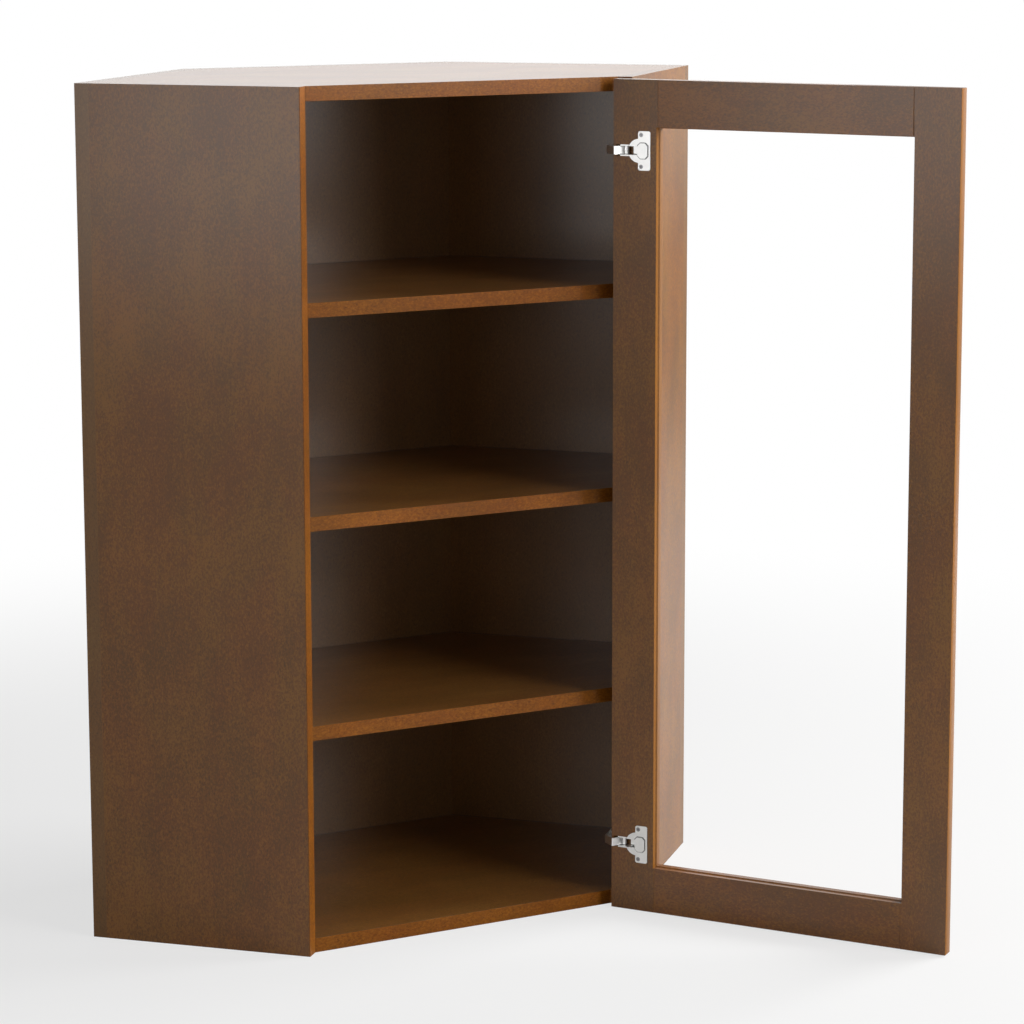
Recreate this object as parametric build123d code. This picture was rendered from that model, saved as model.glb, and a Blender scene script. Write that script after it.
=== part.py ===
from build123d import *
import os
from math import ceil, hypot, radians, sin, sqrt, tan

# Diagonal corner wall cabinet with three shelves and one open-framed door.
# Millimetres, +Z up, the front towards -Y. The origin is the middle of the carcass's underside.
# Two walls of the room meet behind the cabinet, at 45 degrees to X on either side.
# In plan, u runs along a wall from the cabinet's outer end towards the room's corner,
# and v runs from the wall into the room. side is +1 on the right and -1 on the left.
# The door is drawn shut and then turned about its hinge pins to OPEN_ANGLE, its rest pose.

# Carcass
WALL_RUN = 609.6  # along each wall, from the cabinet's outer end to the room's corner
SIDE_DEPTH = 289.0  # of a side, square to its wall
BACK_WING = 336.0  # of a back panel that lies on a wall
HEIGHT = 1066.8
PANEL = 18.0
BAND = 1.0  # edge strip on every front edge
SHELVES = 3
SHELF_SETBACK = 23.0  # behind the front of the top and bottom panels
SHELF_PLAY = 0.6  # round each loose shelf

# Door
DOOR_OVERHANG = 0.3  # past the carcass's front corners, on each side
DOOR_THICK = 17.0
DOOR_MEMBER = 60.0  # width of stiles and rails
DOOR_REVEAL = 1.5  # above and below the door
DOOR_GAP = 1.5  # between the shut door and the carcass
REBATE_DEPTH = 8.5
REBATE_STEP = 1.5  # and the size of the slope that takes the step's place
TENON_LENGTH = 12.0
TENON_THICK = 5.0
TENON_SHOULDER = 8.0
TENON_PLAY = 0.1

# Hinges
OPEN_ANGLE = 125.0
HINGE_INSET = 88.0  # from the door's ends to the hinges
PIN_FROM_EDGE = 14.0
PIN_DEPTH = 9.0  # below the door's inner face
PIN_RADIUS = 1.5
PIN_PLAY = 0.05
EYE_RADIUS = 3.6
NECK_CLEARANCE = 3.0  # round the open arm, in the stile's pocket
CUP_FROM_EDGE = 35.5
CUP_RADIUS = 13.0
CUP_DEPTH = 12.0
CUP_WALL = 1.2
CUP_PLAY = 0.05
EAR_LAP = 3.6  # of the ears into the cup
RIM_RADIUS = 15.0
FLANGE_THICK = 1.2
FLANGE_START = 34.0  # from the door's edge
FLANGE_WIDTH = 16.6
FLANGE_HEIGHT = 48.8
FLANGE_CORNER = 2.5
HUB_SETBACK = 0.3  # behind the cup's mouth
HUB_WIDTH = 13.5
HUB_HEIGHT = 19.0
HUB_THICK = 1.5
HUB_CORNER = 3.5
HUB_GROOVE = 0.8  # width and depth of the crease round the hub
EAR_THICK = 1.7
ARM_THICK = 1.8
ARM_HEIGHT = 10.0
ARM_SIDE_PLAY = 0.4
ARM_CLEARANCE = 0.55  # to the door's sweeping corner and to the cup's mouth
ARM_OFFSET = 9.0  # of the arm's web from the side panel
ARM_REACH = 58.0  # behind the side panel's front edge
ARM_LIP = 5.0  # depth of the arm's two flanges
ARM_LIP_START = 7.0  # behind the side panel's front edge
PLATE_LINE = 37.0  # mounting screws behind the front edge
PLATE_THICK = 2.5
PLATE_WIDTH = 24.0
PLATE_HEIGHT = 48.0
PLATE_PITCH = 32.0
BOSS_START = 14.0
BOSS_WIDTH = 6.8
FIXING_SCREW_INSET = 10.0  # from the arm's back end
ADJUSTING_SCREW_PITCH = 23.0  # in front of the fixing screw

# Fasteners
OVERCUT = 1.0  # of a cutter past the surface that it opens
SCREW_PLAY = 0.05
CUP_SCREW_LINE = 38.1  # from the door's edge
CUP_SCREW_PITCH = 39.4
CUP_SCREW = (12.0, 1.5, 2.75)  # length, shank radius, head radius
PLATE_SCREW = (15.0, 2.2, 3.6)
BACK_SCREW = (45.0, 2.0, 4.0)
BACK_SCREW_INSET = 64.0
BACK_SCREW_SPACING = 240.0  # at most, up a side
PANEL_SCREW_SPACING = 120.0  # at most, along the top and bottom panels
ARM_SCREW_RADIUS = 1.9
ARM_SCREW_HEAD = 3.1
ARM_SCREW_HEAD_HEIGHT = 1.8
RECESS_DEPTH = 0.9
RECESS_SLOT = 0.7
RECESS_SPAN = 1.2  # times the head's radius
DOWEL_RADIUS = 4.0
DOWEL_LENGTH = 30.0
DOWEL_IN_SIDE = 10.0
DOWEL_INSET = 32.0
CAM_RADIUS = 7.5
CAM_DEPTH = 12.5
CAM_BACKSET = 34.0
CAM_INSET = 82.0
BOLT_RADIUS = 2.5
BOLT_IN_SIDE = 11.0
BOLT_SHORT = 1.0  # of the cam's middle
CAM_SLIT = 10.5
SPLINE_WIDTH = 12.0
SPLINE_THICK = 4.0
SPLINE_INSET = 25.0
PEG_RADIUS = 2.5
PEG_DEPTH = 8.0
PEG_INSET = 50.0  # from the back of a side, and of the diagonal back's ends
PEG_FRONT_INSET = 62.0
PEG_PLATE = 1.4
PEG_WIDTH = 7.0
PEG_TONGUE = 8.0
PEG_HEIGHT = 12.0
TONGUE_THICK = 2.0
WALL_SCREW_RADIUS = 2.5
WALL_SCREW_INSET = 70.0  # from the top and the underside
WALL_SCREW_FROM_END = 70.0  # of a back panel that lies on a wall

# Worked out
SLANT = sqrt(0.5)
MITRE = tan(radians(22.5))
BACK_Y = (SIDE_DEPTH + BACK_WING) * SLANT / 2
DOOR_WIDTH = 2 * ((WALL_RUN - SIDE_DEPTH) * SLANT + DOOR_OVERHANG)
FRONT_Y = -BACK_Y
PANEL_FRONT_Y = FRONT_Y + PANEL * SLANT
INNER_Y = FRONT_Y - DOOR_GAP
SHELF_PITCH = (HEIGHT - PANEL) / (SHELVES + 1)
PIN_X = DOOR_WIDTH / 2 - PIN_FROM_EDGE
PIN_Y = INNER_Y - PIN_DEPTH
CORNER_SWEEP = hypot(PIN_FROM_EDGE, PIN_DEPTH)
ARM_X = PIN_X - CORNER_SWEEP - ARM_CLEARANCE - ARM_THICK / 2
MOUTH_END = DOOR_WIDTH / 2 - ARM_X + ARM_THICK / 2 + ARM_CLEARANCE
MOUTH_HALF = ARM_HEIGHT / 2 + ARM_SIDE_PLAY
FIXING_SCREW_LINE = ARM_REACH - FIXING_SCREW_INSET
ADJUSTING_SCREW_LINE = FIXING_SCREW_LINE - ADJUSTING_SCREW_PITCH
CAVITY_DEPTH = CUP_DEPTH - CUP_WALL
HINGE_HEIGHTS = {
    "lower": DOOR_REVEAL + HINGE_INSET,
    "upper": HEIGHT - DOOR_REVEAL - HINGE_INSET,
}
SIDES = {"left": -1, "right": 1}
UP = (0, 0, 1)


# Plan geometry

def wall_point(u, v, side):
    """Plan point u along the wall and v out from it."""
    x = (WALL_RUN - u - v) * SLANT
    y = BACK_Y + (u - v - BACK_WING) * SLANT
    return (side * x, y)


def along_wall(side):
    """Direction towards the room's corner, which is square to a side panel."""
    return (-side * SLANT, SLANT, 0)


def into_room(side):
    """Direction away from the wall."""
    return (-side * SLANT, -SLANT, 0)


def reverse(direction):
    return tuple(-value for value in direction)


def prism(points, low, high):
    """Upright solid over a plan outline."""
    outline = make_face(Polyline(*points, close=True))
    return Pos(0, 0, low) * extrude(outline, amount=high - low, dir=UP)


def wall_block(u, v, z, side):
    """Upright block between two values each of u, v and z."""
    corners = [(u[0], v[0]), (u[1], v[0]), (u[1], v[1]), (u[0], v[1])]
    return prism([wall_point(a, b, side) for a, b in corners], *z)


def block(x, y, z):
    """Block between two values on each axis."""
    size = [pair[1] - pair[0] for pair in (x, y, z)]
    middle = [(pair[1] + pair[0]) / 2 for pair in (x, y, z)]
    return Pos(*middle) * Box(*size)


def inner_half(y, play):
    """Half the room between the sides at y."""
    return (WALL_RUN + BACK_WING - 2 * (PANEL + play)) * SLANT + y - BACK_Y


def inner_plan(front, play=0.0):
    """Outline of what lies between the sides and the backs."""
    inset = PANEL + play
    right = [
        (inner_half(front, play), front),
        wall_point(inset, inset, 1),
        wall_point(BACK_WING - inset * MITRE, inset, 1),
    ]
    return right + [(-x, y) for x, y in reversed(right)]


def front_strip(front, play, low, high):
    """Edge strip along the front of a panel."""
    behind = front + BAND
    half = inner_half(front, play)
    half_behind = inner_half(behind, play)
    outline = [(half, front), (half_behind, behind), (-half_behind, behind), (-half, front)]
    return prism(outline, low, high)


def spread(low, high, spacing):
    """Even values from low to high, at most spacing apart."""
    steps = max(1, ceil((high - low) / spacing))
    return [low + (high - low) * index / steps for index in range(steps + 1)]


def facing(x, y, z, direction):
    """Plane at a point, with its own Z along direction and its X upright."""
    return Plane(origin=(x, y, z), x_dir=UP, z_dir=direction)


# Fastener solids, each along its own +Z from its outer end

def rod(radius, length, start=0.0):
    return Pos(0, 0, start + length / 2) * Cylinder(radius, length)


def turned(*profile):
    """Solid of revolution about Z from points of radius and height."""
    return revolve(Plane.XZ * make_face(Polyline(*profile, close=True)), Axis.Z)


def screw(size, play=0.0):
    """Countersunk screw with its head's face at the origin, or its hole."""
    length, shank, head = size
    sink = head - shank
    solid = turned(
        (0, 0),
        (head + play, 0),
        (shank + play, sink),
        (shank + play, length - shank),
        (0, length + play),
    )
    if play:
        return solid + rod(head + play, OVERCUT, -OVERCUT)
    return solid - recess(head)


def recess(head):
    """Cross slot in a screw's head."""
    slot = Box(RECESS_SPAN * head, RECESS_SLOT, 2 * RECESS_DEPTH)
    return slot + Rot(0, 0, 90) * slot


def pan_screw(length):
    """Screw with a raised head that sits on the plane's origin and rises towards -Z."""
    head = rod(ARM_SCREW_HEAD, ARM_SCREW_HEAD_HEIGHT, -ARM_SCREW_HEAD_HEIGHT)
    slot = Pos(0, 0, -ARM_SCREW_HEAD_HEIGHT) * recess(ARM_SCREW_HEAD)
    return head + rod(ARM_SCREW_RADIUS, length) - slot


# Places of the carcass's fasteners

def panel_levels():
    """Underside of the bottom panel and of the top panel."""
    return [0.0, HEIGHT - PANEL]


def shelf_levels():
    """Underside of each shelf."""
    return [SHELF_PITCH * (index + 1) for index in range(SHELVES)]


def side_joints(inset):
    """Planes on a side's inner face, at the middle of the top and bottom panels, facing into them."""
    lines = (PANEL + inset, SIDE_DEPTH - inset)
    return [
        facing(*wall_point(PANEL, v, side), level + PANEL / 2, along_wall(side))
        for side in SIDES.values()
        for v in lines
        for level in panel_levels()
    ]


def back_screw_planes():
    """Planes on the backs' outer faces, facing into the cabinet."""
    levels = [level + PANEL / 2 for level in panel_levels()]
    planes = []
    for side in SIDES.values():
        inward = into_room(side)
        for u in spread(PANEL + BACK_SCREW_INSET / 2, BACK_WING - BACK_SCREW_INSET, PANEL_SCREW_SPACING):
            planes += [facing(*wall_point(u, 0, side), z, inward) for z in levels]
        for z in spread(BACK_SCREW_INSET, HEIGHT - BACK_SCREW_INSET, BACK_SCREW_SPACING):
            planes.append(facing(*wall_point(PANEL / 2, 0, side), z, inward))
        reach = wall_point(BACK_WING, 0, side)[0] - side * BACK_SCREW_INSET
        planes += [facing(reach, BACK_Y, z, (0, -1, 0)) for z in levels]
    return planes


def peg_planes(level):
    """Planes of one shelf's pegs, on the carcass's inner faces, facing inwards."""
    z = level - TONGUE_THICK - PEG_RADIUS
    planes = []
    for side in SIDES.values():
        for v in (PANEL + PEG_INSET, SIDE_DEPTH - PEG_FRONT_INSET):
            planes.append(facing(*wall_point(PANEL, v, side), z, along_wall(side)))
        reach = wall_point(BACK_WING, 0, side)[0] - side * PEG_INSET
        planes.append(facing(reach, BACK_Y - PANEL, z, (0, -1, 0)))
    return planes


def spline_places():
    """Planes in the middle of the two mitred back joints, with X across the joint."""
    places = []
    for side in SIDES.values():
        outer = wall_point(BACK_WING, 0, side)
        inner = wall_point(BACK_WING - PANEL * MITRE, PANEL, side)
        middle = [(a + b) / 2 for a, b in zip(outer, inner)]
        along = (inner[0] - outer[0], inner[1] - outer[1], 0)
        places.append(Plane(origin=(*middle, HEIGHT / 2), x_dir=UP, z_dir=along))
    return places


def splines(play=0.0):
    size = (HEIGHT - 2 * SPLINE_INSET + play, SPLINE_WIDTH + play, SPLINE_THICK + play)
    return [place * Box(*size) for place in spline_places()]


def wall_screw_holes():
    """Holes through the two back wings, for the screws that hang the cabinet."""
    hole = rod(WALL_SCREW_RADIUS, PANEL + 2 * OVERCUT, -OVERCUT)
    return [
        facing(*wall_point(WALL_SCREW_FROM_END, 0, side), z, into_room(side)) * hole
        for side in SIDES.values()
        for z in (WALL_SCREW_INSET, HEIGHT - WALL_SCREW_INSET)
    ]


# Carcass fasteners, as solids and as the holes that they need

def dowels(play=0.0):
    end_play = 2 * play
    length = DOWEL_LENGTH + 2 * end_play
    start = -DOWEL_IN_SIDE - end_play
    return [plane * rod(DOWEL_RADIUS + play, length, start) for plane in side_joints(DOWEL_INSET)]


def bolts(play=0.0):
    """Cam bolts, from a side's inner face into the cam."""
    length = BOLT_IN_SIDE + CAM_BACKSET - BOLT_SHORT + 2 * play
    start = -BOLT_IN_SIDE - play
    return [plane * rod(BOLT_RADIUS + play, length, start) for plane in side_joints(CAM_INSET)]


def cam_bodies(play=0.0):
    """Cams bored up into the top and bottom panels from below."""
    cams = []
    for plane in side_joints(CAM_INSET):
        centre = plane.origin + plane.z_dir * CAM_BACKSET
        low = centre.Z - PANEL / 2
        cams.append(Pos(centre.X, centre.Y, low) * rod(CAM_RADIUS + play, CAM_DEPTH + play))
    return cams


def cams():
    slots = bolts(2 * SCREW_PLAY)
    slit = Box(CAM_SLIT, RECESS_SLOT, 2 * RECESS_DEPTH)
    return [
        body - slot - Pos(body.center().X, body.center().Y, body.bounding_box().min.Z) * slit
        for body, slot in zip(cam_bodies(), slots)
    ]


def back_screws(play=0.0):
    return [plane * screw(BACK_SCREW, play) for plane in back_screw_planes()]


def peg():
    """Shelf support: peg, plate against the panel and a tongue under the shelf."""
    top = PEG_RADIUS + TONGUE_THICK
    plate = block((top - PEG_HEIGHT, top), (-PEG_WIDTH / 2, PEG_WIDTH / 2), (0, PEG_PLATE))
    tongue = block((PEG_RADIUS, top), (-PEG_WIDTH / 2, PEG_WIDTH / 2), (0, PEG_TONGUE))
    return plate + tongue + rod(PEG_RADIUS, PEG_DEPTH, -PEG_DEPTH)


def pegs(level):
    return [plane * peg() for plane in peg_planes(level)]


def peg_holes():
    depth = PEG_DEPTH + SCREW_PLAY
    hole = rod(PEG_RADIUS + SCREW_PLAY, depth + OVERCUT, -depth)
    return [plane * hole for level in shelf_levels() for plane in peg_planes(level)]


# Carcass pieces

def side_panel(side):
    return wall_block((0, PANEL), (PANEL, SIDE_DEPTH - BAND), (0, HEIGHT), side)


def side_band(side):
    return wall_block((0, PANEL), (SIDE_DEPTH - BAND, SIDE_DEPTH), (0, HEIGHT), side)


def back_wing(side):
    corners = [(0, 0), (BACK_WING, 0), (BACK_WING - PANEL * MITRE, PANEL), (0, PANEL)]
    return prism([wall_point(u, v, side) for u, v in corners], 0, HEIGHT)


def back_diagonal():
    outer = wall_point(BACK_WING, 0, 1)
    inner = wall_point(BACK_WING - PANEL * MITRE, PANEL, 1)
    outline = [outer, inner, (-inner[0], inner[1]), (-outer[0], outer[1])]
    return prism(outline, 0, HEIGHT)


def level_panel(level, front, play=0.0):
    return prism(inner_plan(front + BAND, play), level, level + PANEL)


def carcass():
    joints = dowels(SCREW_PLAY) + bolts(SCREW_PLAY)
    backs = back_screws(SCREW_PLAY)
    tongues = splines(2 * TENON_PLAY)
    parts = {}
    for name, side in SIDES.items():
        parts[f"side_{name}"] = side_panel(side)
        parts[f"side_{name}_band"] = side_band(side)
        parts[f"back_{name}"] = back_wing(side)
    parts["back_diagonal"] = back_diagonal()
    for name, level in zip(("bottom", "top"), panel_levels()):
        parts[f"{name}_panel"] = level_panel(level, PANEL_FRONT_Y)
        parts[f"{name}_panel_band"] = front_strip(PANEL_FRONT_Y, 0, level, level + PANEL)
    cuts = {
        "side_left": joints + backs + peg_holes(),
        "side_right": joints + backs + peg_holes() + plate_screws(SCREW_PLAY),
        "back_left": backs + tongues + wall_screw_holes(),
        "back_right": backs + tongues + wall_screw_holes(),
        "back_diagonal": backs + tongues + peg_holes(),
        "bottom_panel": joints + backs + cam_bodies(SCREW_PLAY),
        "top_panel": joints + backs + cam_bodies(SCREW_PLAY),
    }
    for name, cutters in cuts.items():
        parts[name] = cut(parts[name], cutters)
    parts["carcass_dowels"] = Compound(children=dowels())
    parts["cam_bolts"] = Compound(children=bolts())
    parts["cams"] = Compound(children=cams())
    parts["back_screws"] = Compound(children=back_screws())
    parts["back_splines"] = Compound(children=splines())
    return parts


def cut(solid, cutters):
    """The solid less the cutters that reach it."""
    box = solid.bounding_box()
    near = [cutter for cutter in cutters if box.overlaps(cutter.bounding_box())]
    return solid.cut(*near) if near else solid


def shelf_name(index):
    names = ("lower", "middle", "upper")
    return names[index] if SHELVES == len(names) else f"{index + 1}"


def shelves():
    front = PANEL_FRONT_Y + SHELF_SETBACK
    parts = {}
    for index, level in enumerate(shelf_levels()):
        name = shelf_name(index)
        parts[f"shelf_{name}"] = level_panel(level, front, SHELF_PLAY)
        parts[f"shelf_{name}_band"] = front_strip(front, SHELF_PLAY, level, level + PANEL)
        parts[f"shelf_{name}_pegs"] = Compound(children=pegs(level))
    return parts


# Door, drawn shut

def from_edge(distance):
    """X of a point of the shut door, from its hinge edge."""
    return DOOR_WIDTH / 2 - distance


def door_block(s, depth, z):
    """Block of the shut door: s from the hinge edge, depth below the inner face."""
    x = (from_edge(s[1]), from_edge(s[0]))
    y = (INNER_Y - depth[1], INNER_Y - depth[0])
    return block(x, y, z)


def door_post(s, depth, z, radius):
    """Cylinder square to the door."""
    plane = facing(from_edge(s), INNER_Y - depth[0], z, (0, -1, 0))
    return plane * rod(radius, depth[1] - depth[0])


def door_members():
    low, high = DOOR_REVEAL, HEIGHT - DOOR_REVEAL
    thick = (0, DOOR_THICK)
    opening = (DOOR_MEMBER - REBATE_STEP, DOOR_WIDTH - DOOR_MEMBER + REBATE_STEP)
    rebate_z = (low + DOOR_MEMBER - REBATE_STEP, high - DOOR_MEMBER + REBATE_STEP)
    rebate = door_block(opening, (-OVERCUT, REBATE_DEPTH), rebate_z)
    rebate = chamfer(rebate.faces().sort_by(Axis.Y)[0].edges(), REBATE_STEP)
    between = (DOOR_MEMBER, DOOR_WIDTH - DOOR_MEMBER)
    stiles = {
        "door_hinge_stile": (0, DOOR_MEMBER),
        "door_free_stile": (DOOR_WIDTH - DOOR_MEMBER, DOOR_WIDTH),
    }
    rails = {
        "door_bottom_rail": (low, low + DOOR_MEMBER),
        "door_top_rail": (high - DOOR_MEMBER, high),
    }
    mortises = [tenon(z, TENON_PLAY) for z in rails.values()]
    parts = {}
    for name, s in stiles.items():
        parts[name] = door_block(s, thick, (low, high)) - rebate - mortises
    for name, z in rails.items():
        parts[name] = door_block(between, thick, z) - rebate + tenon(z)
    parts["door_hinge_stile"] -= hinge_pockets()
    return parts


def tenon(z, play=0.0):
    """Tongue that runs through a rail and out into both stiles, or its mortise."""
    reach = TENON_LENGTH + play
    s = (DOOR_MEMBER - reach, DOOR_WIDTH - DOOR_MEMBER + reach)
    middle = (DOOR_THICK + REBATE_DEPTH) / 2
    half = TENON_THICK / 2 + play
    shoulder = TENON_SHOULDER - play
    return door_block(s, (middle - half, middle + half), (z[0] + shoulder, z[1] - shoulder))


def neck_start():
    """Where the neck pocket begins, past the arm of the open door."""
    turn = radians(180 - OPEN_ANGLE)
    arm = PIN_DEPTH / tan(turn) + ARM_THICK / 2 / sin(turn)
    return PIN_FROM_EDGE - max(arm, EYE_RADIUS + CUP_WALL) - NECK_CLEARANCE


def hinge_pockets():
    """Cup holes, neck pockets and screw holes in the hinge stile."""
    cup_depth = (-OVERCUT, CUP_DEPTH + CUP_PLAY)
    neck_depth = (-OVERCUT, PIN_DEPTH + EYE_RADIUS + ARM_CLEARANCE)
    neck = (neck_start(), CUP_FROM_EDGE)
    half = MOUTH_HALF + EAR_THICK + CUP_PLAY
    pockets = []
    for z in HINGE_HEIGHTS.values():
        pockets.append(door_post(CUP_FROM_EDGE, cup_depth, z, CUP_RADIUS + CUP_PLAY))
        pockets.append(door_block(neck, neck_depth, (z - half, z + half)))
        pockets += cup_screws(z, SCREW_PLAY)
    return pockets


# Hinge pieces

def hinge_cup(z):
    """Cup with its rim, flange, raised hub and the two ears that hold the pin."""
    mouth = (z - MOUTH_HALF, z + MOUTH_HALF)
    flange = door_block(
        (FLANGE_START, FLANGE_START + FLANGE_WIDTH),
        (-FLANGE_THICK, 0),
        (z - FLANGE_HEIGHT / 2, z + FLANGE_HEIGHT / 2),
    )
    flange = fillet(flange.edges().filter_by(Axis.Y), FLANGE_CORNER)
    top = -FLANGE_THICK - HUB_THICK
    hub = hub_block((top, 0), z)
    groove = hub_block((-FLANGE_THICK - OVERCUT, HUB_GROOVE - FLANGE_THICK), z, HUB_GROOVE) - hub
    rim = door_post(CUP_FROM_EDGE, (-FLANGE_THICK, 0), z, RIM_RADIUS)
    shell = door_post(CUP_FROM_EDGE, (0, CUP_DEPTH), z, CUP_RADIUS)
    shell -= door_post(CUP_FROM_EDGE, (0, CAVITY_DEPTH), z, CUP_RADIUS - CUP_WALL)
    ears = door_block(
        (PIN_FROM_EDGE - EYE_RADIUS - CUP_WALL, CUP_FROM_EDGE - CUP_RADIUS + EAR_LAP),
        (0, CUP_DEPTH),
        (mouth[0] - EAR_THICK, mouth[1] + EAR_THICK),
    )
    gap = door_block((0, MOUTH_END), (top, CAVITY_DEPTH), mouth)
    gap += door_block((0, CUP_FROM_EDGE - CUP_RADIUS), (CAVITY_DEPTH, CUP_DEPTH), mouth)
    cup = (rim + flange - groove) + shell + hub + ears - gap
    return cup - hinge_pin(z, CUP_PLAY) - cup_screws(z, SCREW_PLAY)


def hub_block(depth, z, margin=0.0):
    """The hub's eight-sided outline, grown by a margin."""
    start = MOUTH_END + HUB_SETBACK
    half = HUB_HEIGHT / 2 + margin
    outline = door_block((start - margin, start + HUB_WIDTH + margin), depth, (z - half, z + half))
    return chamfer(outline.edges().filter_by(Axis.Y), HUB_CORNER)


def hinge_pin(z, play=0.0):
    length = 2 * (MOUTH_HALF + EAR_THICK)
    return Pos(PIN_X, PIN_Y, z) * Cylinder(PIN_RADIUS + play, length)


def cup_screws(z, play=0.0):
    heights = (z - CUP_SCREW_PITCH / 2, z + CUP_SCREW_PITCH / 2)
    y = INNER_Y + FLANGE_THICK
    return [
        facing(from_edge(CUP_SCREW_LINE), y, height, (0, -1, 0)) * screw(CUP_SCREW, play)
        for height in heights
    ]


def slab(start, end, z):
    """Flat stretch of the arm between two plan points, rounded at its start."""
    run = Vector(*end) - Vector(*start)
    plane = Plane(origin=(*start, z), x_dir=(run.X, run.Y, 0), z_dir=UP)
    flat = plane * (Pos(run.length / 2, 0, 0) * Box(run.length, ARM_THICK, ARM_HEIGHT))
    return flat + Pos(*start, z) * Cylinder(ARM_THICK / 2, ARM_HEIGHT)


def hinge_arm(z):
    """Cranked arm from the pin, round the door's corner and on to the mounting plate."""
    u = PANEL + ARM_OFFSET
    bend_v = WALL_RUN - u - ARM_X / SLANT
    points = [
        (PIN_X, PIN_Y),
        (ARM_X, PIN_Y),
        wall_point(u, bend_v, 1),
        wall_point(u, SIDE_DEPTH - ARM_REACH, 1),
    ]
    arm = Pos(PIN_X, PIN_Y, z) * Cylinder(EYE_RADIUS, ARM_HEIGHT)
    for start, end in zip(points, points[1:]):
        arm += slab(start, end, z)
    lip_u = (u + ARM_THICK / 2 - ARM_LIP, u + ARM_THICK / 2)
    lip_v = (SIDE_DEPTH - ARM_REACH, SIDE_DEPTH - ARM_LIP_START)
    lip = (ARM_HEIGHT - BOSS_WIDTH) / 2 - ARM_SIDE_PLAY / 2
    for low in (z - ARM_HEIGHT / 2, z + ARM_HEIGHT / 2 - lip):
        arm += wall_block(lip_u, lip_v, (low, low + lip), 1)
    bore = Pos(PIN_X, PIN_Y, z) * Cylinder(PIN_RADIUS + PIN_PLAY, ARM_HEIGHT)
    return arm - bore - arm_screw_holes(z)


def arm_plane(line, z):
    """Plane on the arm's web, facing the side panel."""
    u = PANEL + ARM_OFFSET + ARM_THICK / 2
    return facing(*wall_point(u, SIDE_DEPTH - line, 1), z, reverse(along_wall(1)))


def arm_screw_holes(z):
    hole = rod(ARM_SCREW_RADIUS + SCREW_PLAY, ARM_OFFSET)
    return [arm_plane(line, z) * hole for line in (FIXING_SCREW_LINE, ADJUSTING_SCREW_LINE)]


def arm_screw(line, z):
    return arm_plane(line, z) * pan_screw(ARM_OFFSET - PLATE_THICK)


def hinge_plate(z):
    """Mounting plate: a base on the side panel and the boss that carries the arm."""
    middle = SIDE_DEPTH - PLATE_LINE
    base = wall_block(
        (PANEL, PANEL + PLATE_THICK),
        (middle - PLATE_WIDTH / 2, middle + PLATE_WIDTH / 2),
        (z - PLATE_HEIGHT / 2, z + PLATE_HEIGHT / 2),
        1,
    )
    boss = wall_block(
        (PANEL, PANEL + ARM_OFFSET - ARM_THICK / 2),
        (SIDE_DEPTH - ARM_REACH, SIDE_DEPTH - BOSS_START),
        (z - BOSS_WIDTH / 2, z + BOSS_WIDTH / 2),
        1,
    )
    return base + boss - arm_screw_holes(z) - plate_screws(SCREW_PLAY, [z])


def plate_screws(play=0.0, heights=HINGE_HEIGHTS.values()):
    u = PANEL + PLATE_THICK
    v = SIDE_DEPTH - PLATE_LINE
    return [
        facing(*wall_point(u, v, 1), z + offset, reverse(along_wall(1))) * screw(PLATE_SCREW, play)
        for z in heights
        for offset in (-PLATE_PITCH / 2, PLATE_PITCH / 2)
    ]


def fixed_hinge_pieces():
    parts = {}
    for name, z in HINGE_HEIGHTS.items():
        parts[f"{name}_hinge_arm"] = hinge_arm(z)
        parts[f"{name}_hinge_plate"] = hinge_plate(z)
        parts[f"{name}_hinge_plate_screws"] = Compound(children=plate_screws(heights=[z]))
        parts[f"{name}_hinge_fixing_screw"] = arm_screw(FIXING_SCREW_LINE, z)
        parts[f"{name}_hinge_adjusting_screw"] = arm_screw(ADJUSTING_SCREW_LINE, z)
    return parts


def moving_hinge_pieces():
    parts = {}
    for name, z in HINGE_HEIGHTS.items():
        parts[f"{name}_hinge_cup"] = hinge_cup(z)
        parts[f"{name}_hinge_pin"] = hinge_pin(z)
        parts[f"{name}_hinge_cup_screws"] = Compound(children=cup_screws(z))
    return parts


def opened(shape):
    """The shut door's piece, turned to the rest pose."""
    return shape.rotate(Axis((PIN_X, PIN_Y, 0), UP), OPEN_ANGLE)


def build():
    parts = {**carcass(), **shelves(), **fixed_hinge_pieces()}
    door = {**door_members(), **moving_hinge_pieces()}
    parts.update({name: opened(shape) for name, shape in door.items()})
    return parts


os.makedirs("parts", exist_ok=True)
for node, shape in build().items():
    export_step(shape, f"parts/{node}.step")
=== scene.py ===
from math import atan2, pi, radians

import bpy
from mathutils import Matrix, Vector

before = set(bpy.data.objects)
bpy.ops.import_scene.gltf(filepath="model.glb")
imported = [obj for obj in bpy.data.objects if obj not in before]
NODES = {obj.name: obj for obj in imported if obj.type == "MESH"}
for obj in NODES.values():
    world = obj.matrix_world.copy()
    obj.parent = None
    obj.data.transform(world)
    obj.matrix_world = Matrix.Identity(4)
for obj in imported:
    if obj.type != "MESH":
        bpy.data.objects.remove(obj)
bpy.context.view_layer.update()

# Diagonal corner wall cabinet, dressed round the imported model. Metres, +Z up, the front towards -Y.

# Nodes that are dressed alike
SIDES = ["side_left", "side_right"]
BACKS = ["back_left", "back_right", "back_diagonal"]
DECKS = ["top_panel", "bottom_panel", "shelf_lower", "shelf_middle", "shelf_upper"]
STILES = ["door_hinge_stile", "door_free_stile"]
RAILS = ["door_bottom_rail", "door_top_rail"]
SIDE_BANDS = [f"{name}_band" for name in SIDES]  # the strips on the panels' front edges
DECK_BANDS = [f"{name}_band" for name in DECKS]

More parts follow.
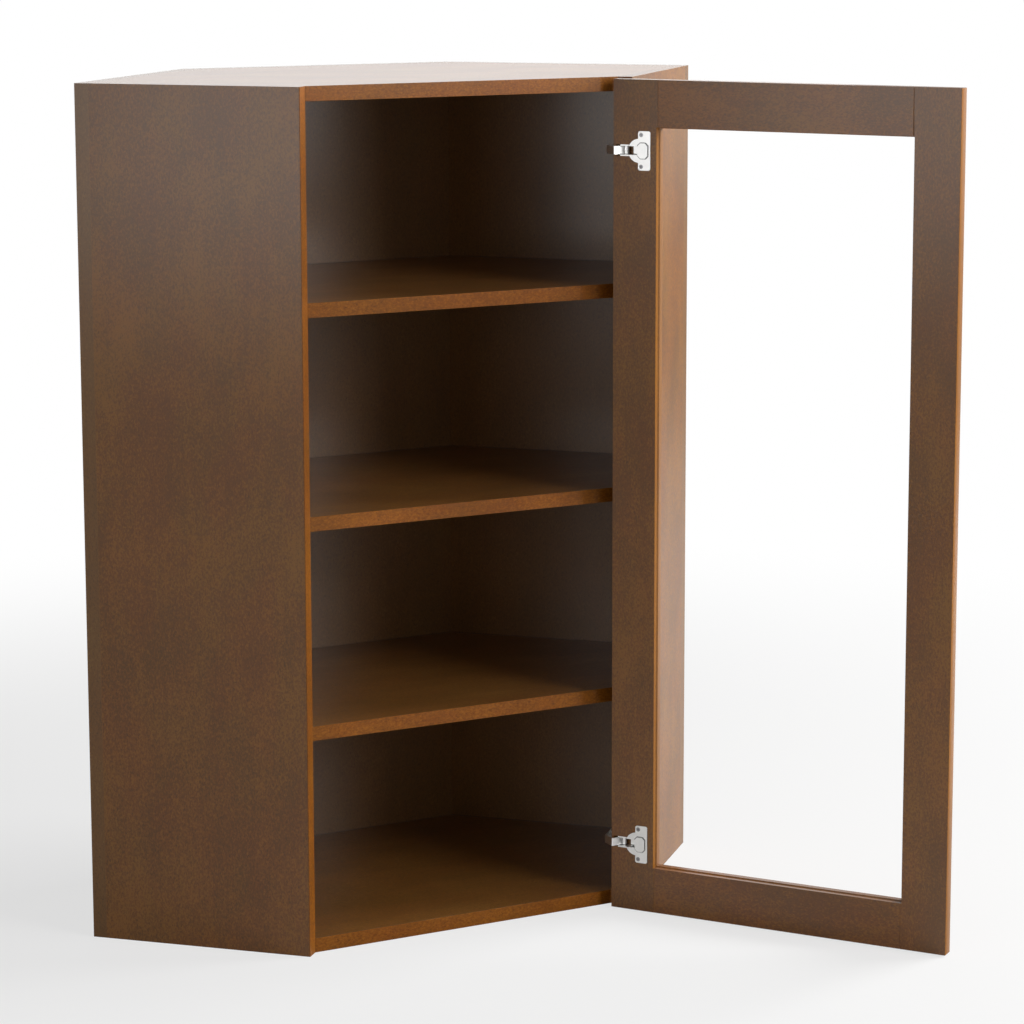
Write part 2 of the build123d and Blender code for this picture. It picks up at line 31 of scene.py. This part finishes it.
# Camera, fitted to the cabinet's corners in the photograph
CAMERA_PLACE = (-1.8431, -3.7855, 1.2940)
CAMERA_YAW = 28.795  # to the right of +Y
CAMERA_TILT = 9.27  # downwards
CAMERA_LENS = 115.97
CAMERA_SENSOR = 36.0
CAMERA_SHIFT = (-0.0415, -0.08)

# Light
WORLD_LEVEL = 0.05
MIRRORED_LEVEL = 0.56  # of the white world and floor, as polished surfaces mirror them
LAMPS = {
    "key": {"place": (1.92, -3.08, 1.9), "aim": (0.1, -0.1, 0.55), "size": (2.2, 2.4), "power": 100.0},
    "side": {"place": (3.3, -0.7, 2.3), "aim": (0.1, -0.1, 0.55), "size": (2.2, 2.4), "power": 178.0},
    "sheen": {"place": (-3.1, -1.8, 0.97), "aim": (-0.3, -0.1, 0.7), "size": (1.6, 1.05), "power": 16.0},
    "front": {"place": (-0.3, -4.4, 1.6), "aim": (0.0, -0.1, 0.5), "size": (2.0, 2.0), "power": 9.0},
    "back": {"place": (1.6, 3.6, 1.9), "aim": (0.0, 0.0, 1.0), "size": (2.6, 1.2), "power": 14.5},
}

# Floor
FLOOR_SIZE = 24.0
FLOOR_DROP = 0.0004  # below the cabinet's underside
FLOOR_COLOUR = (0.64, 0.64, 0.635)
FLOOR_LIFT = 0.69  # share of plain white in the floor as the camera sees it
FLOOR_FADE = (0.9, 2.4)  # the floor turns to plain white between these distances
FLOOR_MIRRORED_FADE = (8.0, 12.0)  # the same, as polished surfaces mirror it

# Open door
DOOR_DIRECTION = (0.5736, -0.8192)  # along the rails, from the hinge edge
DOOR_THROUGH = (0.0327, 0.0497)  # the inner and the outer face, measured square to that

# Rounded edges
PANEL_EDGE = 0.0005
BAND_EDGE = 0.0002
HINGE_EDGE = 0.0003
PEG_EDGE = 0.0002
EDGE_ANGLE = radians(40)  # faces that meet at more than this are rounded
EDGE_SEGMENTS = 2
WELD_DISTANCE = 0.00001
FACE_WEIGHT = 100  # large faces keep their shading flat

# Rubbed edges, partly painted highlights, and painted shade in joints
EDGE_TURN = (0.02, 0.25)  # 1 less the cosine from the true normal to a rounded one, from face to edge
EDGE_SAMPLES = 4
CREVICE_SHARE = (0.08, 0.40)  # share of the view that is blocked, from open to crevice
CREVICE_SAMPLES = 6

# Stained wood
STAIN_DARK = (0.108, 0.036, 0.0017)
STAIN = (0.162, 0.055, 0.0028)
STAIN_LIGHT = (0.222, 0.086, 0.0060)
STAIN_RED = (0.194, 0.057, 0.0029)
STAIN_OLIVE = (0.134, 0.060, 0.0023)
STAIN_PORE = (0.071, 0.025, 0.0017)
STAIN_WORN_HIGHLIGHT = (0.269, 0.095, 0.0054)  # on rubbed edges, partly wear and partly a painted highlight
SEAM_PAINTED_SHADE = (0.030, 0.012, 0.003)  # painted shade where two panels meet and where other surfaces lie close
STAIN_NARROW_PAINTED_LIGHT = (0.230, 0.084, 0.006)  # painted light on the stiles' narrow faces, for the light they catch
BAND_TINT = (1.20, 1.05, 0.8)  # the tints multiply the stain
# greyer than the stain, as painted light for the light and sheen inside the cabinet
BACK_PAINTED_LIGHT_TINT = (0.93, 1.12, 3.2)
DECK_PAINTED_LIGHT_TINT = (1.28, 1.46, 4.2)  # top, bottom and shelves; lighter and greyer than the stain, as painted light for the light and sheen that reach them
RAIL_TINT = (1.07, 1.02, 0.97)

# Its noise. All noise here is: cells per metre along the grain, across it, detail, roughness, distortion
WOOD_NOISE = {
    "fibre": (300, 640, 2.0, 0.6, 0.0),
    "mottle": (290, 410, 2.0, 0.6, 0.3),
    "streak": (5.5, 95, 3.0, 0.55, 0.4),
    "cloud": (7.0, 13.0, 3.0, 0.55, 0.3),
    "hue": (9.0, 17.0, 3.0, 0.6, 0.0),
    "fleck": (160, 230, 2.0, 0.6, 0.0),
    "speck": (260, 560, 2.0, 0.7, 0.0),
}
SHARED_OFFSETS = {"hue": (3.1, 1.7, 2.3), "fleck": (5.7, 2.9, 8.3)}  # the same in every wood
TONE_WEIGHTS = {"fibre": 0.20, "mottle": 0.42, "streak": 0.08, "cloud": 0.30}
TONE_SPREAD = 0.09  # on either side of a half, from darkest to lightest stain
HUE_WEIGHTS = {"hue": 0.75, "fleck": 0.25}
HUE_SPREAD = 0.12
HUE_SHARE = 0.24
PORE_SPECK = (0.56, 0.68)  # of the speck noise, from none to a pore
PORE_SHARE = 0.6
PORE_DEPTH = 0.8  # of the fibres' height
WOOD_WEAR_AND_HIGHLIGHT = 0.9
WOOD_WORN_WIDTH = 0.0012
WOOD_SHADE_REACH = 0.0015
WOOD_SHADE_SHARE = 0.8
WOOD_ROUGHNESS = 0.58
WOOD_ROUGHNESS_SPREAD = 0.16
WOOD_IOR = 1.5
WOOD_SPECULAR = 0.46
WOOD_COAT = 0.64
WOOD_COAT_ROUGHNESS = 0.22
WOOD_BUMP = {"strength": 0.16, "distance": 0.0004}
NARROW_FACING = (0.5, 0.8)  # how squarely a narrow face looks along the door, from not to fully
NARROW_SHARE = 0.6
NARROW_GLOSS_LOSS = 0.85  # at the door's inner face

# Bare beech
BEECH_DARK = (0.50, 0.31, 0.15)
BEECH_LIGHT = (0.62, 0.42, 0.23)
BEECH_FLECK = (0.35, 0.19, 0.09)
BEECH_FLECK_SHARE = 0.4
BEECH_FIBRE_NOISE = (60, 900, 3.0, 0.6)
BEECH_FIBRE_RANGE = (0.35, 0.65)
BEECH_FLECK_NOISE = (300, 900, 1.0, 0.5)
BEECH_FLECK_RANGE = (0.6, 0.7)
BEECH_ROUGHNESS = 0.7
BEECH_BUMP = {"strength": 0.15, "distance": 0.0003}

# Plated metal
METAL_WORN = (0.93, 0.92, 0.90)
METAL_WORN_WIDTH = 0.0005
METAL_WORN_SHARE = 0.35
# painted shade, dark where another surface lies close, under plates and round screw heads
METAL_PAINTED_SHADE = (0.10, 0.10, 0.10)
METAL_SHADE_REACH = 0.0018
METAL_SHADE_SHARE = 0.85
METAL_BRUSH_NOISE = (60, 2600, 2.0, 0.6)
METAL_CLOUD_NOISE = (70, 90, 3.0, 0.6)
METAL_CLOUD_RANGE = (0.3, 0.7)
METAL_BUMP = {"strength": 0.05, "distance": 0.0001}


# Node helpers

def new_material(name):
    material = bpy.data.materials.new(name)
    material.use_nodes = True
    material.node_tree.nodes.clear()
    return material, material.node_tree


def plug(tree, socket, value):
    """Links the socket to another one, or sets it to a plain value."""
    if isinstance(value, bpy.types.NodeSocket):
        tree.links.new(value, socket)
    else:
        socket.default_value = value


def add(tree, kind, **settings):
    """New node with its attributes set, and its inputs from values or other sockets."""
    node = tree.nodes.new(kind)
    inputs = settings.pop("inputs", {})
    for key, value in settings.items():
        setattr(node, key, value)
    for key, value in inputs.items():
        plug(tree, node.inputs[key], value)
    return node


def maths(tree, operation, a, b, c=0.0):
    return add(tree, "ShaderNodeMath", operation=operation, inputs={0: a, 1: b, 2: c}).outputs[0]


def product(tree, a, b):
    return maths(tree, "MULTIPLY", a, b)


def scaled(tree, value, factor):
    """A socket or a plain number, times the factor."""
    if isinstance(value, bpy.types.NodeSocket):
        return product(tree, value, factor)
    return value * factor


def varied(tree, value, spread, middle):
    """The middle, moved by noise that lies round a half."""
    return maths(tree, "MULTIPLY_ADD", maths(tree, "SUBTRACT", value, 0.5), spread, middle)


def weighted(tree, values, weights):
    """Sum of the named values, each times its weight."""
    total = 0.0
    for name, weight in weights.items():
        total = maths(tree, "MULTIPLY_ADD", values[name], weight, total)
    return total


def dot(tree, a, b):
    node = add(tree, "ShaderNodeVectorMath", operation="DOT_PRODUCT", inputs={0: a, 1: b})
    return node.outputs["Value"]


def ramp(tree, value, low, high):
    """0 below low and 1 above high, eased between."""
    inputs = {"Value": value, "From Min": low, "From Max": high}
    return add(tree, "ShaderNodeMapRange", interpolation_type="SMOOTHSTEP", inputs=inputs).outputs[0]


def centred_ramp(tree, value, spread):
    """0 to 1 over the spread on either side of a half."""
    return ramp(tree, value, 0.5 - spread, 0.5 + spread)


def of_kind(sockets, name, kind):
    return next(socket for socket in sockets if socket.name == name and socket.type == kind)


def mix_colour(tree, factor, a, b, blend="MIX"):
    """Colour a turned into b as far as the factor says. Each is a socket or plain red, green, blue."""
    node = add(tree, "ShaderNodeMix", data_type="RGBA", blend_type=blend)
    plug(tree, of_kind(node.inputs, "Factor", "VALUE"), factor)
    for name, colour in (("A", a), ("B", b)):
        if not isinstance(colour, bpy.types.NodeSocket):
            colour = (*colour, 1)
        plug(tree, of_kind(node.inputs, name, "RGBA"), colour)
    return of_kind(node.outputs, "Result", "RGBA")


def noise(tree, grain, along, across, detail, roughness, distortion=0.0, offset=(0, 0, 0)):
    """Noise with that many cells per metre along the grain and across it."""
    inputs = {"Vector": grain, "Scale": (along, across, across), "Location": offset}
    cells = add(tree, "ShaderNodeMapping", inputs=inputs).outputs[0]
    inputs = {"Vector": cells, "Scale": 1.0, "Detail": detail}
    inputs.update({"Roughness": roughness, "Distortion": distortion})
    return add(tree, "ShaderNodeTexNoise", inputs=inputs).outputs["Fac"]


def grain_vector(tree, direction):
    """Object coordinates turned so that their first axis lies along the grain."""
    place = add(tree, "ShaderNodeTexCoord").outputs["Object"]
    if direction == "up":
        turn = (0, pi / 2, 0)
    else:
        turn = (0, 0, -atan2(direction[1], direction[0]))
    inputs = {"Vector": place, "Rotation": turn}
    return add(tree, "ShaderNodeVectorRotate", rotation_type="EULER_XYZ", inputs=inputs).outputs[0]


def edge_mask(tree, width):
    """1 on corners and edges, from how far a rounded normal leaves the true one."""
    rounded = add(tree, "ShaderNodeBevel", samples=EDGE_SAMPLES, inputs={"Radius": width}).outputs[0]
    true = add(tree, "ShaderNodeNewGeometry").outputs["Normal"]
    return ramp(tree, maths(tree, "SUBTRACT", 1.0, dot(tree, rounded, true)), *EDGE_TURN)


def painted_shade_mask(tree, reach):
    """1 where another surface lies close by, in joints and under plates: the mask of the painted shade.
    """
    node = add(tree, "ShaderNodeAmbientOcclusion", samples=CREVICE_SAMPLES, inputs={"Distance": reach})
    return ramp(tree, maths(tree, "SUBTRACT", 1.0, node.outputs["AO"]), *CREVICE_SHARE)


def bumped(tree, height, strength, distance):
    inputs = {"Strength": strength, "Distance": distance, "Height": height}
    return add(tree, "ShaderNodeBump", inputs=inputs).outputs[0]


def set_surface(tree, shader):
    add(tree, "ShaderNodeOutputMaterial", inputs={"Surface": shader.outputs[0]})


# Materials

def stain_colour(tree, layers, pores, tint, figure):
    """Uneven stain between reddish and olive, darker in the pores. A low figure evens it out."""
    tone = centred_ramp(tree, weighted(tree, layers, TONE_WEIGHTS), TONE_SPREAD / figure)
    dark_half = mix_colour(tree, ramp(tree, tone, 0.0, 0.5), STAIN_DARK, STAIN)
    colour = mix_colour(tree, ramp(tree, tone, 0.5, 1.0), dark_half, STAIN_LIGHT)
    hue = centred_ramp(tree, weighted(tree, layers, HUE_WEIGHTS), HUE_SPREAD / figure)
    colour = mix_colour(tree, HUE_SHARE, colour, mix_colour(tree, hue, STAIN_RED, STAIN_OLIVE))
    colour = mix_colour(tree, pores, colour, STAIN_PORE)
    return mix_colour(tree, 1.0, colour, tint, "MULTIPLY")


# Lighter stain on edges, partly rubbed wear and partly a painted highlight.
def rub_and_highlight_edges(tree, colour, streak):
    worn = product(tree, edge_mask(tree, WOOD_WORN_WIDTH), product(tree, streak, WOOD_WEAR_AND_HIGHLIGHT))
    return mix_colour(tree, maths(tree, "MINIMUM", worn, 1.0), colour, STAIN_WORN_HIGHLIGHT)


# Painted shade: darker stain where another surface lies close by.
def paint_seam_shade(tree, colour):
    seam_shade_mask = product(tree, painted_shade_mask(tree, WOOD_SHADE_REACH), WOOD_SHADE_SHARE)
    return mix_colour(tree, seam_shade_mask, colour, SEAM_PAINTED_SHADE)


def narrow_faces(tree, colour, gloss):
    """A lighter colour on the stiles' narrow faces, painted light for the light they catch; they lose
    gloss towards the door's inner face.
    """
    coordinates = add(tree, "ShaderNodeTexCoord")
    along = (*DOOR_DIRECTION, 0)
    outwards = (-DOOR_DIRECTION[1], DOOR_DIRECTION[0], 0)
    facing = maths(tree, "ABSOLUTE", dot(tree, coordinates.outputs["Normal"], along), 0.0)
    narrow = ramp(tree, facing, *NARROW_FACING)
    through = ramp(tree, dot(tree, coordinates.outputs["Object"], outwards), *DOOR_THROUGH)
    loss = maths(tree, "MULTIPLY_ADD", through, -NARROW_GLOSS_LOSS, NARROW_GLOSS_LOSS)
    # painted light on the narrow faces
    colour = mix_colour(tree, product(tree, narrow, NARROW_SHARE), colour, STAIN_NARROW_PAINTED_LIGHT)
    return colour, maths(tree, "MULTIPLY_ADD", product(tree, narrow, loss), -gloss, gloss)


def stained_wood(name, direction, tint=(1, 1, 1), figure=1.0, offset=(0, 0, 0), gloss=1.0,
                 seam_shade=True, stile=False):
    """Satin stained wood: short fibres, mottle, pores, cloudy stain, rubbed edges partly painted as
    highlights, and painted shade in joints.
    """
    material, tree = new_material(name)
    grain = grain_vector(tree, direction)
    layers = {}
    for layer, shape in WOOD_NOISE.items():
        layers[layer] = noise(tree, grain, *shape, offset=SHARED_OFFSETS.get(layer, offset))
    pores = product(tree, ramp(tree, layers["speck"], *PORE_SPECK), PORE_SHARE)

    colour = stain_colour(tree, layers, pores, tint, figure)
    colour = rub_and_highlight_edges(tree, colour, layers["streak"])
    if seam_shade:
        colour = paint_seam_shade(tree, colour)
    if stile:
        colour, gloss = narrow_faces(tree, colour, gloss)

    height = maths(tree, "MULTIPLY_ADD", pores, -PORE_DEPTH, layers["fibre"])
    inputs = {
        "Base Color": colour,
        "Roughness": varied(tree, layers["mottle"], WOOD_ROUGHNESS_SPREAD, WOOD_ROUGHNESS),
        "IOR": WOOD_IOR,
        "Specular IOR Level": scaled(tree, gloss, WOOD_SPECULAR),
        "Coat Weight": scaled(tree, gloss, WOOD_COAT),
        "Coat Roughness": WOOD_COAT_ROUGHNESS,
        "Normal": bumped(tree, height, **WOOD_BUMP),
    }
    set_surface(tree, add(tree, "ShaderNodeBsdfPrincipled", inputs=inputs))
    return material


def bare_beech(name):
    """Unfinished beech of the dowels and splines."""
    material, tree = new_material(name)
    grain = grain_vector(tree, "up")
    fibre = noise(tree, grain, *BEECH_FIBRE_NOISE)
    fleck = ramp(tree, noise(tree, grain, *BEECH_FLECK_NOISE), *BEECH_FLECK_RANGE)
    colour = mix_colour(tree, ramp(tree, fibre, *BEECH_FIBRE_RANGE), BEECH_DARK, BEECH_LIGHT)
    colour = mix_colour(tree, product(tree, fleck, BEECH_FLECK_SHARE), colour, BEECH_FLECK)
    normal = bumped(tree, fibre, **BEECH_BUMP)
    inputs = {"Base Color": colour, "Roughness": BEECH_ROUGHNESS, "Normal": normal}
    set_surface(tree, add(tree, "ShaderNodeBsdfPrincipled", inputs=inputs))
    return material


def plated_metal(name, light, dark, roughness, brushing):
    """Plated steel: faint brushing, a cloudy plate, lighter rubbed edges, and painted shade in its
    hollows and joints.
    """
    material, tree = new_material(name)
    grain = grain_vector(tree, "up")
    brush = noise(tree, grain, *METAL_BRUSH_NOISE)
    cloud = ramp(tree, noise(tree, grain, *METAL_CLOUD_NOISE), *METAL_CLOUD_RANGE)
    colour = mix_colour(tree, cloud, dark, light)
    worn = product(tree, edge_mask(tree, METAL_WORN_WIDTH), METAL_WORN_SHARE)
    colour = mix_colour(tree, worn, colour, METAL_WORN)
    # painted shade where another surface lies close by
    crevice = product(tree, painted_shade_mask(tree, METAL_SHADE_REACH), METAL_SHADE_SHARE)
    colour = mix_colour(tree, crevice, colour, METAL_PAINTED_SHADE)
    inputs = {
        "Base Color": colour,
        "Metallic": 1.0,
        "Roughness": varied(tree, brush, brushing, roughness),
        "Normal": bumped(tree, brush, **METAL_BUMP),
    }
    set_surface(tree, add(tree, "ShaderNodeBsdfPrincipled", inputs=inputs))
    return material


def give(material, names):
    """Puts the material on each named node."""
    for name in names:
        for slot in NODES[name].material_slots:
            slot.material = material


def named(*endings):
    """Nodes whose names end in one of these ways."""
    return [name for name in NODES if name.endswith(endings)]


def dress_wood():
    across = (1, 0)  # the grain of level panels, from side to side
    uprights = stained_wood("veneer_upright", "up")
    give(uprights, SIDES)
    upright_bands = stained_wood(
        "upright_band", "up", tint=BAND_TINT, figure=0.75, offset=(6.6, 3.2, 0.3), gloss=0.45)
    give(upright_bands, SIDE_BANDS)
    backs = stained_wood("veneer_back", "up", tint=BACK_PAINTED_LIGHT_TINT, figure=0.45, offset=(7.3, 2.1, 0.4))
    give(backs, BACKS)
    decks = stained_wood("veneer_deck", across, tint=DECK_PAINTED_LIGHT_TINT, figure=0.55, offset=(1.9, 5.2, 3.3))
    give(decks, DECKS)
    deck_bands = stained_wood(
        "edge_band", across, tint=BAND_TINT, figure=0.75, offset=(2.6, 1.2, 7.3), gloss=0.3)
    give(deck_bands, DECK_BANDS)
    stiles = stained_wood("hardwood_stile", "up", offset=(4.4, 0.9, 6.1), seam_shade=False, stile=True)
    give(stiles, STILES)
    rails = stained_wood(
        "hardwood_rail", DOOR_DIRECTION, tint=RAIL_TINT, offset=(2.2, 8.0, 1.5), seam_shade=False)
    give(rails, RAILS)
    give(bare_beech("beech"), ["carcass_dowels", "back_splines"])


def dress_hardware():
    nickel = plated_metal(
        "nickel", light=(0.95, 0.945, 0.93), dark=(0.90, 0.895, 0.88), roughness=0.34, brushing=0.10)
    give(nickel, named("hinge_arm", "hinge_plate", "hinge_cup", "_pegs"))
    zinc = plated_metal(
        "zinc", light=(0.70, 0.70, 0.69), dark=(0.52, 0.52, 0.53), roughness=0.32, brushing=0.16)
    give(zinc, named("_screws", "_screw") + ["cams", "cam_bolts"])
    dark_screw = plated_metal(
        "dark_screw", light=(0.42, 0.42, 0.43), dark=(0.27, 0.27, 0.28), roughness=0.38, brushing=0.16)
    give(dark_screw, named("cup_screws"))  # over the zinc
    bright_steel = plated_metal(
        "bright_steel", light=(0.78, 0.78, 0.78), dark=(0.66, 0.66, 0.66), roughness=0.16, brushing=0.08)
    give(bright_steel, named("hinge_pin"))


def soften(names, width):
    """Small rounded edges, as sanding and plating leave them."""
    for name in names:
        modifiers = NODES[name].modifiers
        modifiers.new("joined faces", "WELD").merge_threshold = WELD_DISTANCE
        bevel = modifiers.new("rounded edges", "BEVEL")
        bevel.width = width
        bevel.segments = EDGE_SEGMENTS
        bevel.limit_method = "ANGLE"
        bevel.angle_limit = EDGE_ANGLE
        modifiers.new("flat faces", "WEIGHTED_NORMAL").weight = FACE_WEIGHT


def soften_edges():
    """Rounds the panels, bands, door members, hinge cups, arms, plates and pegs, but not the backs,
    where it would draw a line across their faces.
    """
    soften(SIDES + DECKS + STILES + RAILS, PANEL_EDGE)
    soften(SIDE_BANDS + DECK_BANDS, BAND_EDGE)
    soften(named("hinge_cup", "hinge_arm", "hinge_plate"), HINGE_EDGE)
    soften(named("_pegs"), PEG_EDGE)


# Surroundings

def make_floor():
    """Pale floor that turns to plain white with distance, where it is seen or mirrored."""
    half = FLOOR_SIZE / 2
    mesh = bpy.data.meshes.new("floor")
    corners = [(-half, -half, 0), (half, -half, 0), (half, half, 0), (-half, half, 0)]
    mesh.from_pydata(corners, [], [(0, 1, 2, 3)])
    floor = bpy.data.objects.new("floor", mesh)
    floor.location.z = -FLOOR_DROP
    bpy.context.scene.collection.objects.link(floor)

    material, tree = new_material("floor")
    mesh.materials.append(material)
    place = add(tree, "ShaderNodeTexCoord").outputs["Object"]
    distance = add(tree, "ShaderNodeVectorMath", operation="LENGTH", inputs={0: place}).outputs["Value"]
    rays = add(tree, "ShaderNodeLightPath").outputs
    seen = maths(tree, "MAXIMUM", rays["Is Camera Ray"], rays["Is Transmission Ray"])
    lifted = {"Value": ramp(tree, distance, *FLOOR_FADE), "To Min": FLOOR_LIFT}
    seen = product(tree, seen, add(tree, "ShaderNodeMapRange", inputs=lifted).outputs[0])
    mirrored = product(tree, rays["Is Glossy Ray"], ramp(tree, distance, *FLOOR_MIRRORED_FADE))
    level = maths(tree, "MULTIPLY_ADD", rays["Is Glossy Ray"], MIRRORED_LEVEL - 1.0, 1.0)
    paper = add(tree, "ShaderNodeBsdfDiffuse", inputs={"Color": (*FLOOR_COLOUR, 1)})
    white = add(tree, "ShaderNodeEmission", inputs={"Strength": level})
    inputs = {0: maths(tree, "MAXIMUM", seen, mirrored), 1: paper.outputs[0], 2: white.outputs[0]}
    set_surface(tree, add(tree, "ShaderNodeMixShader", inputs=inputs))


def make_world():
    """White where it is seen, less where it is mirrored, and a low level of light elsewhere."""
    world = bpy.data.worlds.new("studio")
    bpy.context.scene.world = world
    world.use_nodes = True
    tree = world.node_tree
    tree.nodes.clear()
    rays = add(tree, "ShaderNodeLightPath").outputs
    seen = maths(tree, "MAXIMUM", rays["Is Camera Ray"], rays["Is Transmission Ray"])
    mirrored = product(tree, rays["Is Glossy Ray"], MIRRORED_LEVEL)
    strength = maths(tree, "MAXIMUM", maths(tree, "MAXIMUM", seen, mirrored), WORLD_LEVEL)
    sky = add(tree, "ShaderNodeBackground", inputs={"Color": (1, 1, 1, 1), "Strength": strength})
    add(tree, "ShaderNodeOutputWorld", inputs={"Surface": sky.outputs[0]})


def aimed(place, aim):
    direction = Vector(aim) - Vector(place)
    return Matrix.Translation(place) @ direction.to_track_quat("-Z", "Y").to_matrix().to_4x4()


def make_lamp(name, place, aim, size, power):
    data = bpy.data.lights.new(name, "AREA")
    data.shape = "RECTANGLE"
    data.size, data.size_y = size
    data.energy = power
    lamp = bpy.data.objects.new(name, data)
    lamp.matrix_world = aimed(place, aim)
    lamp.visible_camera = False
    bpy.context.scene.collection.objects.link(lamp)


def make_camera():
    data = bpy.data.cameras.new("camera")
    data.lens = CAMERA_LENS
    data.sensor_width = CAMERA_SENSOR
    data.shift_x, data.shift_y = CAMERA_SHIFT
    camera = bpy.data.objects.new("camera", data)
    camera.location = CAMERA_PLACE
    camera.rotation_euler = (radians(90 - CAMERA_TILT), 0, radians(-CAMERA_YAW))
    bpy.context.scene.collection.objects.link(camera)
    bpy.context.scene.camera = camera


dress_wood()
dress_hardware()
soften_edges()
make_floor()
make_world()
for name, lamp in LAMPS.items():
    make_lamp(name, **lamp)
make_camera()
bpy.context.scene.view_settings.view_transform = "Standard"
